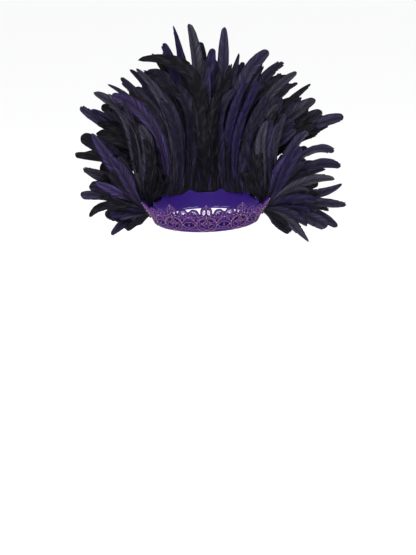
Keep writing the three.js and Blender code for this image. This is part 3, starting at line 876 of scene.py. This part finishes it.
# Four points of a cubic curve: along the quill at the root, with the tip's own slope at the tip
def shaftPoints(root, quill, feather, hold):
    tip = tipPlace(feather)
    reach = (tip - root).length
    ahead = Vector((tip.x - root.x, tip.y - root.y, 0)).normalized()
    swing = fan["swing"] * min(1, abs(feather["tip"]) / 30)
    beside = Vector((math.copysign(1, feather["tip"]), 0, 0))
    slope = math.radians(feather["rise"])
    tipWay = ahead.lerp(beside, swing).normalized() * math.cos(slope) + Vector((0, 0, math.sin(slope)))
    bend = feather.get("bend", fan["bend"] * math.sin(feather["tip"] * 2.3 + feather["rise"]))
    aside = Vector((ahead.y, -ahead.x, 0)) * bend * reach
    tipHold = feather.get("tipHold", fan["tipHold"])
    inwards = Vector((-root.x * feather.get("gather", 0), 0, 0))
    rising = root + quill * hold * reach + inwards - aside * 0.5
    return [root, rising, tip - tipWay * tipHold * reach + aside, tip]


def alongShaft(points, t):
    a, b, c, d = points
    s = 1 - t
    spot = a * s ** 3 + b * 3 * s * s * t + c * 3 * s * t * t + d * t ** 3
    way = (b - a) * s * s + (c - b) * 2 * s * t + (d - c) * t * t
    return spot, way.normalized()


# Width of the vane along the shaft: narrow quill end, full middle, rounded or pointed tip
def vaneShare(along, shape):
    grow = smoothStep(along, -0.06, shape["fullFrom"])
    ahead = max(0, (along - shape["tipFrom"]) / (1 - shape["tipFrom"]))
    tip = max(0, 1 - ahead ** shape["tipCurve"]) ** shape["tipPower"]
    return (fan["quillShare"] + (1 - fan["quillShare"]) * grow) * tip


def feelShape(chance, blunt):
    blunt = chance.uniform(0.2, 1) if blunt is None else blunt   # 0 is a pointed tip, 1 a round one
    shape = {"tipFrom": 0.50 + 0.34 * blunt, "tipCurve": 1.5 + 0.7 * blunt, "tipPower": 0.95 - 0.43 * blunt}
    for key, limits in vaneShape.items():
        shape[key] = chance.uniform(*limits)
    return shape


# Where the barbs have come apart, on either side of the shaft
def pickSplits(chance, steps):
    splits = {1: {}, -1: {}}
    first, last, step = splitting["frayRows"]
    for side in (1, -1):
        for n in range(chance.randint(0, 2)):
            splits[side][chance.randint(int(steps * splitting["from"]), steps - splitting["whole"])] = \
                chance.uniform(*splitting["depth"])
        if chance.random() < splitting["frayed"]:
            for row in range(steps - first, steps - last, step):
                splits[side][row] = chance.uniform(*splitting["frayDepth"])
    return splits


# One feather: a cambered vane with slanted barbs and a few splits, over a tapering shaft
def addFeather(bm, layers, feather, points, facing, seed):
    chance = random.Random(seed)
    glow = chance.uniform(*feather.get("glow", fan["glow"]))
    tone = [part * glow for part in tones[feather["tone"]]]
    width = feather["width"] * fan["fullness"]
    steps = fan["steps"]
    reach = (points[3] - points[0]).length
    halfWide = width * fan["vaneWidth"] / 2
    shape = feelShape(chance, feather.get("blunt"))
    splits = pickSplits(chance, steps)
    last = fan["curlCount"] - 1
    curls = {side: [chance.uniform(-fan["curl"], fan["curl"]) for n in range(last + 1)] for side in (1, -1)}
    made = bmesh.ops.create_grid(bm, x_segments=fan["columns"], y_segments=steps, size=0.5)["verts"]
    reading = {}
    shift = chance.uniform(0, 40)   # so that no two feathers share a pattern
    for vert in made:
        across = vert.co.x * 2
        evenly = vert.co.y + 0.5
        row = round(evenly * steps)
        along = evenly * (1 + fan["tipCrowd"] * (1 - evenly))
        side = 1 if across > 0 else -1
        edge = abs(across)
        cut = splits[side].get(row, 0)
        group = sum(1 for split in splits[side] if split < row)
        near = sum((split - row) for split in splits[side] if abs(split - row) == 1)
        ragged = 1 + fan["ragged"] * noise.noise(Vector((row * fan["raggedPitch"], side * 3.1, seed * 1.7)))
        share = edge * ragged * (1 - cut * edge ** 3)
        lean = fan["barbLean"] * halfWide / reach * edge * smoothStep(along, 0.02, 0.3)
        lean = min(lean, 0.6 * (1 - along) * edge)   # barbs don't reach past the tip
        t = min(1, max(0, along + lean + 0.8 * near / steps * edge ** 2))
        spot, way = alongShaft(points, t)
        sideways = way.cross(facing(along)).normalized()
        normal = sideways.cross(way)
        turn = Quaternion(way, shape["twist"] * smoothStep(along, 0.15, 1.0))
        wide = halfWide * vaneShare(along, shape) * (1 + side * shape["bias"])
        lift = -shape["camber"] * share * share
        lift += shape["wave"] * share * math.sin(along * fan["wavePitch"] + shape["phase"] + side)
        lift += curls[side][min(group, last)] * edge ** 2 * (1 - 0.8 * (cut > 0))
        vert.co = spot + turn @ sideways * (side * share * wide) + turn @ normal * (lift * wide)
        reading[vert] = (0.5 + across / 2, shift + along * reach * 100)
    paintFaces(bm, layers, made, reading, tone, 0)
    addShaft(bm, layers, points, width, facing, tone)


def addShaft(bm, layers, points, width, facing, tone):
    tube = makeTube(bm, fan["shaftSides"], fan["shaftCuts"], True)
    radius = 0.55 * fan["shaftWall"] * (0.7 + 0.5 * width)   # a broad vane has a thicker shaft
    for vert in tube:
        along = vert.co.z + 0.5
        spot, way = alongShaft(points, min(along * fan["shaftReach"], 1))
        sideways = way.cross(facing(along)).normalized()
        normal = sideways.cross(way)
        thick = radius * (1 - fan["shaftTaper"] * along ** 0.8)
        vert.co = spot + sideways * (vert.co.x * 2 * thick) + normal * (vert.co.y * 2 * thick)
    paintFaces(bm, layers, tube, {}, tone, 1)


# Filling feathers lie between the listed ones, a little shorter and in a tone of their own
def between(first, second, share, chance):
    mixed = {"filling": True, "glow": fan["fillGlow"]}
    for key in first:
        if key == "tone":
            mixed[key] = chance.choice(fan["fillTones"])
        elif key in second and key not in fan["ownKeys"]:
            mixed[key] = first[key] + (second[key] - first[key]) * share
    if "sit" in first:
        fill = tuftFill
        nearer = chance.uniform(*fill["reach"])
        for key, start in fill["start"].items():
            mixed[key] = start + (mixed[key] - start) * nearer
        mixed["tip"] -= math.copysign(chance.uniform(*fill["inwards"]), mixed["tip"])
    else:
        fill = rowFill
        mixed["up"] = min(mixed["up"] * chance.uniform(*fill["up"]), fill["top"])
        mixed["out"] *= chance.uniform(*fill["out"])
    mixed["tip"] += chance.uniform(-2, 2)
    mixed["rise"] += chance.uniform(*fill["rise"])
    mixed["width"] = chance.uniform(*fill["width"])
    mixed["bend"] = chance.uniform(*fill["bend"])
    return mixed


def filled(feathers, chance):
    ordered = sorted(feathers, key=lambda feather: (feather.get("sit", 0), feather["tip"]))
    fillers = []
    for first, second in zip(ordered, ordered[1:]):
        for share in () if first.get("bare") else fan["fillShares"]:
            fillers.append(between(first, second, share, chance))
    return feathers + fillers


# Short feathers that stand in front of a row and hide its quills, and a few at its corners
def shortOnes(count, chance):
    corners = [{
        "tip": side * (65 + 4 * n),
        "out": 0.41 + 0.02 * n,
        "up": 0.36 - 0.03 * n,
        "rise": 72,
        "width": 0.80,
        "bend": 0,
        "gather": -0.3,
        "tone": chance.choice(fan["steepTones"]),
    } for side in (-1, 1) for n in range(3) if count > 5]
    return corners + [{
        "tip": (n + 0.5 + chance.uniform(-0.4, 0.4)) / count * 126 - 63,
        **{key: chance.uniform(*limits) for key, limits in shortFill.items()},
        "tone": chance.choice(fan["fillTones"]),
    } for n in range(count)]


# Steep feathers close the corner between a side tuft and the fan
def steepOnes(seat, chance):
    low = [{
        "sit": 0.69 + 0.045 * n,
        "start": 96 - 14 * n,
        "tip": seat - math.copysign(5, seat),
        "out": 0.35 + 0.055 * n,
        "up": 0.23 + 0.04 * n,
        "rise": 56,
        "width": 1.0,
        "tone": "black",
    } for n in range(2)]
    return low + [{
        "sit": 0.69 + 0.045 * n,
        "start": chance.uniform(60, 76) + 14 * max(0, 2 - n),
        "tip": seat - math.copysign(chance.uniform(2, 8), seat),
        "out": 0.44 + 0.036 * n,
        "up": chance.uniform(0.42, 0.50) + 0.022 * n,
        "rise": chance.uniform(44, 60),
        "width": chance.uniform(0.75, 0.95),
        "blunt": chance.uniform(0.1, 0.6),
        "bend": chance.uniform(-0.04, 0.04),
        "tone": fan["steepTones"][(n + abs(seat)) % len(fan["steepTones"])],
    } for n in range(7)]


def endPlumes(bm, name):
    bmesh.ops.recalc_face_normals(bm, faces=bm.faces)
    piece = finishMesh(bm, "plumes_" + name, [vaneMaterial, shaftMaterial, tapeMaterial])
    shell = piece.modifiers.new("vaneWall", "SOLIDIFY")
    shell.thickness = fan["vaneThickness"]
    shell.offset = 0
    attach(piece, "root")
    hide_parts(name)
    return piece


def rowPlumes(row, order, chance):
    plan = rowPlan
    tapeTop = plan["tapeRise"] + plan["tapeHeight"]
    outset = (tapeTop - band["bottom"]) * math.tan(band["flare"]) + plan["gap"]
    outset += fan["shaftWall"] / 2 + order * plan["spacing"]
    lean = math.radians(row["lean"])
    back = Vector((0, 1, 0))
    bm, layers = startMesh()
    feathers = readLines(row["feathers"], rowColumns)
    for feather in filled(feathers, chance) + shortOnes(row["short"], chance):
        feather = {"gather": fan["gather"], **feather}
        seat = feather.get("seat", feather["tip"] * plan["seats"])
        seat = min(plan["spread"] - 1, max(1 - plan["spread"], seat))
        out = outwards(seat)
        quill = out * math.sin(lean) + Vector((0, 0, math.cos(lean)))
        root = rimPlace(seat, outset, tapeTop - plan["quillHold"])
        points = shaftPoints(root, quill, feather, row["hold"])
        addFeather(bm, layers, feather, points,
                   lambda along: out.lerp(back, plan["turn"] * along), chance.randint(0, 9999))
    addRowTape(bm, layers, outset)
    piece = endPlumes(bm, row["name"])


def addRowTape(bm, layers, outset):
    made = bmesh.ops.create_grid(bm, x_segments=rowPlan["tapeSteps"], y_segments=3, size=0.5)["verts"]
    for vert in made:
        angle = vert.co.x * 2 * rowPlan["spread"]
        height = rowPlan["tapeRise"] + (vert.co.y + 0.5) * rowPlan["tapeHeight"]
        vert.co = rimPlace(angle, outset, height)
    paintFaces(bm, layers, made, {}, tones["black"], 2)


def tuftPlumes(tuft, chance):
    plan = tuftPlan
    lower = lacePlace(tuft["seat"], plan["tapeStart"], lace["wall"] + plan["gap"])
    upper = lacePlace(tuft["seat"], plan["tapeStart"] + plan["tapeLength"], lace["wall"] + plan["gap"])
    out = outwards(tuft["seat"])
    tangent = Vector((out.y, -out.x, 0))
    normal = tangent.cross((upper - lower).normalized())
    if normal.dot(out) < 0:
        normal.negate()
    bm, layers = startMesh()
    steep = [] if "rear" in tuft["name"] else steepOnes(tuft["seat"], chance)
    feathers = readLines(tuft["feathers"], tuftColumns)
    for feather in filled(feathers, chance) + steep:
        share = plan["margin"] + (1 - 2 * plan["margin"]) * feather["sit"]
        root = lower.lerp(upper, share) + normal * (plan["tapeWall"] / 2)
        start = math.radians(feather["start"])
        quill = out * math.cos(start) + Vector((0, 0, math.sin(start)))
        points = shaftPoints(root, quill, feather, plan["hold"])
        tilt = plan["fillTilt"] if feather.get("filling") else plan["tilt"]
        tilted = Quaternion(quill, chance.uniform(-tilt, tilt)) @ tangent
        addFeather(bm, layers, feather, points, lambda along: tilted, chance.randint(0, 9999))
    addTuftTape(bm, layers, lower, upper, normal, tangent)
    piece = endPlumes(bm, tuft["name"])


def addTuftTape(bm, layers, lower, upper, normal, tangent):
    made = bmesh.ops.create_cube(bm, size=1)["verts"]
    for vert in made:
        spot = lower.lerp(upper, vert.co.y + 0.5) + normal * (tuftPlan["tapeWall"] * (vert.co.z + 0.5))
        vert.co = spot + tangent * (vert.co.x * tuftPlan["tapeWidth"])
    paintFaces(bm, layers, made, {}, tones["black"], 2)


# Looks of the feathers

vaneLook = {
    "roughness": 0.42,
    "specular": 0.08,
    "sheen": 0.04,
    "sheenRoughness": 0.4,
    "sheenTint": (0.62, 0.6, 0.85, 1),
    "slant": -2.6,   # barbs lean towards the tip
    "barbTones": [(0.32, (0.5, 0.5, 0.52)), (0.62, (1.3, 1.28, 1.35))],
    # barb clumps, a real texture, whose brightest streaks at up to three times the tone are painted
    # highlight
    "clumpAndSheenTones": [(0.34, (0.4, 0.4, 0.42)), (0.54, (1.1, 1.08, 1.15)), (0.74, (3.0, 2.9, 3.1))],
    # painted shade along the shaft and at the outer edges of the vane, painted highlight across the middle
    # of each half-vane
    "acrossShadeTones": [(0.02, (0.4, 0.4, 0.42)), (0.10, (0.9, 0.9, 0.93)), (0.34, (1.5, 1.47, 1.55)),
                  (0.5, (0.5, 0.48, 0.55))],
    # painted sheen: broad greyish-lilac patches laid over the vane stand in for its glossy highlights
    "paintedSheenTones": [(0.50, (0, 0, 0)), (0.78, (0.45, 0.45, 0.45))],
    "paintedSheen": (0.045, 0.042, 0.062, 1),
}


# The UV runs across the vane (0 to 1, shaft at 0.5) and along it in centimetres
def makeVane():
    look = vaneLook
    material, tree, shader = startMaterial("vane", look["roughness"], look["specular"])
    across, along = barbPlace(tree)
    centred = addNode(tree, "Math", {0: across, 1: 0.5}, operation="SUBTRACT").outputs[0]
    sideways = addNode(tree, "Math", {0: centred}, operation="ABSOLUTE").outputs[0]
    slant = addNode(tree, "Math", {0: sideways, 1: look["slant"], 2: along}, operation="MULTIPLY_ADD")
    barb = addNode(tree, "CombineXYZ", {"X": centred, "Y": slant.outputs[0]}).outputs[0]

    def stretched(scale, detail, roughness):
        place = addNode(tree, "Mapping", {"Vector": barb, "Scale": scale}).outputs[0]
        return addNoise(tree, place, 1.0, detail, roughness)

    barbs = stretched((1.2, 16, 1), detail=3.0, roughness=0.6)
    clumps = stretched((0.9, 3.0, 1), detail=3.0, roughness=0.6)
    patches = stretched((2.5, 0.7, 1), detail=2.0, roughness=0.5)
    tone = addNode(tree, "Attribute", {}, attribute_name="tone").outputs["Color"]
    fine = addRamp(tree, barbs, look["barbTones"])
    # clumped barbs, with painted highlight in their brightest streaks
    coarse = addRamp(tree, clumps, look["clumpAndSheenTones"])
    grain = addMix(tree, 1.0, fine, coarse)
    shade = addMix(tree, 1.0, tone, grain)
    # painted shade at the shaft and the vane's edges, painted highlight across the middle of each half
    acrossShaded = addMix(tree, 1.0, shade, addRamp(tree, sideways, look["acrossShadeTones"]))
    # painted sheen: broad light patches mixed over the vane's colour
    paintedSheen = addRamp(tree, patches, look["paintedSheenTones"])
    tree.links.new(addMix(tree, paintedSheen, acrossShaded, look["paintedSheen"], "MIX"), shader.inputs["Base Color"])
    addBump(tree, shader, clumps, strength=0.55, depth=1.6 * mm)
    addBump(tree, shader, barbs, strength=0.5, depth=0.6 * mm)
    shader.inputs["Sheen Weight"].default_value = look["sheen"]
    shader.inputs["Sheen Roughness"].default_value = look["sheenRoughness"]
    shader.inputs["Sheen Tint"].default_value = look["sheenTint"]
    return material


def makeShaft():
    material, tree, shader = startMaterial("shaft", 0.38, specular=0.15)
    tone = addNode(tree, "Attribute", {}, attribute_name="tone").outputs["Color"]
    tree.links.new(addMix(tree, 0.8, tone, (0.004, 0.0035, 0.005, 1), "MIX"), shader.inputs["Base Color"])
    return material


satinMaterial = makeCloth("satin", dark=(0.012, 0.0015, 0.085), light=(0.028, 0.003, 0.18),
                          roughness=0.38, weave=900, depth=0.2 * mm)
laceMaterial = makeNet("laceNet", dark=(0.004, 0.001, 0.040), light=(0.036, 0.008, 0.17),
                       cell=620, roughness=0.7)
bindingMaterial = makeCloth("bindingSatin", dark=(0.026, 0.006, 0.14), light=(0.050, 0.013, 0.24),
                            roughness=0.42, weave=900, depth=0.2 * mm)
cordMaterial = makeTwist("cordSilk", dark=(0.008, 0.002, 0.055), light=(0.092, 0.018, 0.31),
                         roughness=0.46, metal=0.0, turns=0.6)
pearlMaterial = makePlain("pearlKnot", (0.58, 0.38, 0.50, 1), 0.32)
threadMaterial = makeTwist("goldThread", dark=(0.030, 0.006, 0.10), light=(0.44, 0.20, 0.33),
                           roughness=0.42, metal=0.15, turns=0.45)
tapeMaterial = makePlain("tape", (0.008, 0.007, 0.010, 1), 0.8)
vaneMaterial = makeVane()
shaftMaterial = makeShaft()

makeCamera()
makeStudio()
makeBand()
makeBinding()
makeLace()
print("stage: band, binding and lace")
dice = random.Random(sceneSeed)
for order, row in enumerate(rows):
    rowPlumes(row, order, dice)
for tuft in tufts:
    tuftPlumes(tuft, dice)
print("stage: feathers")
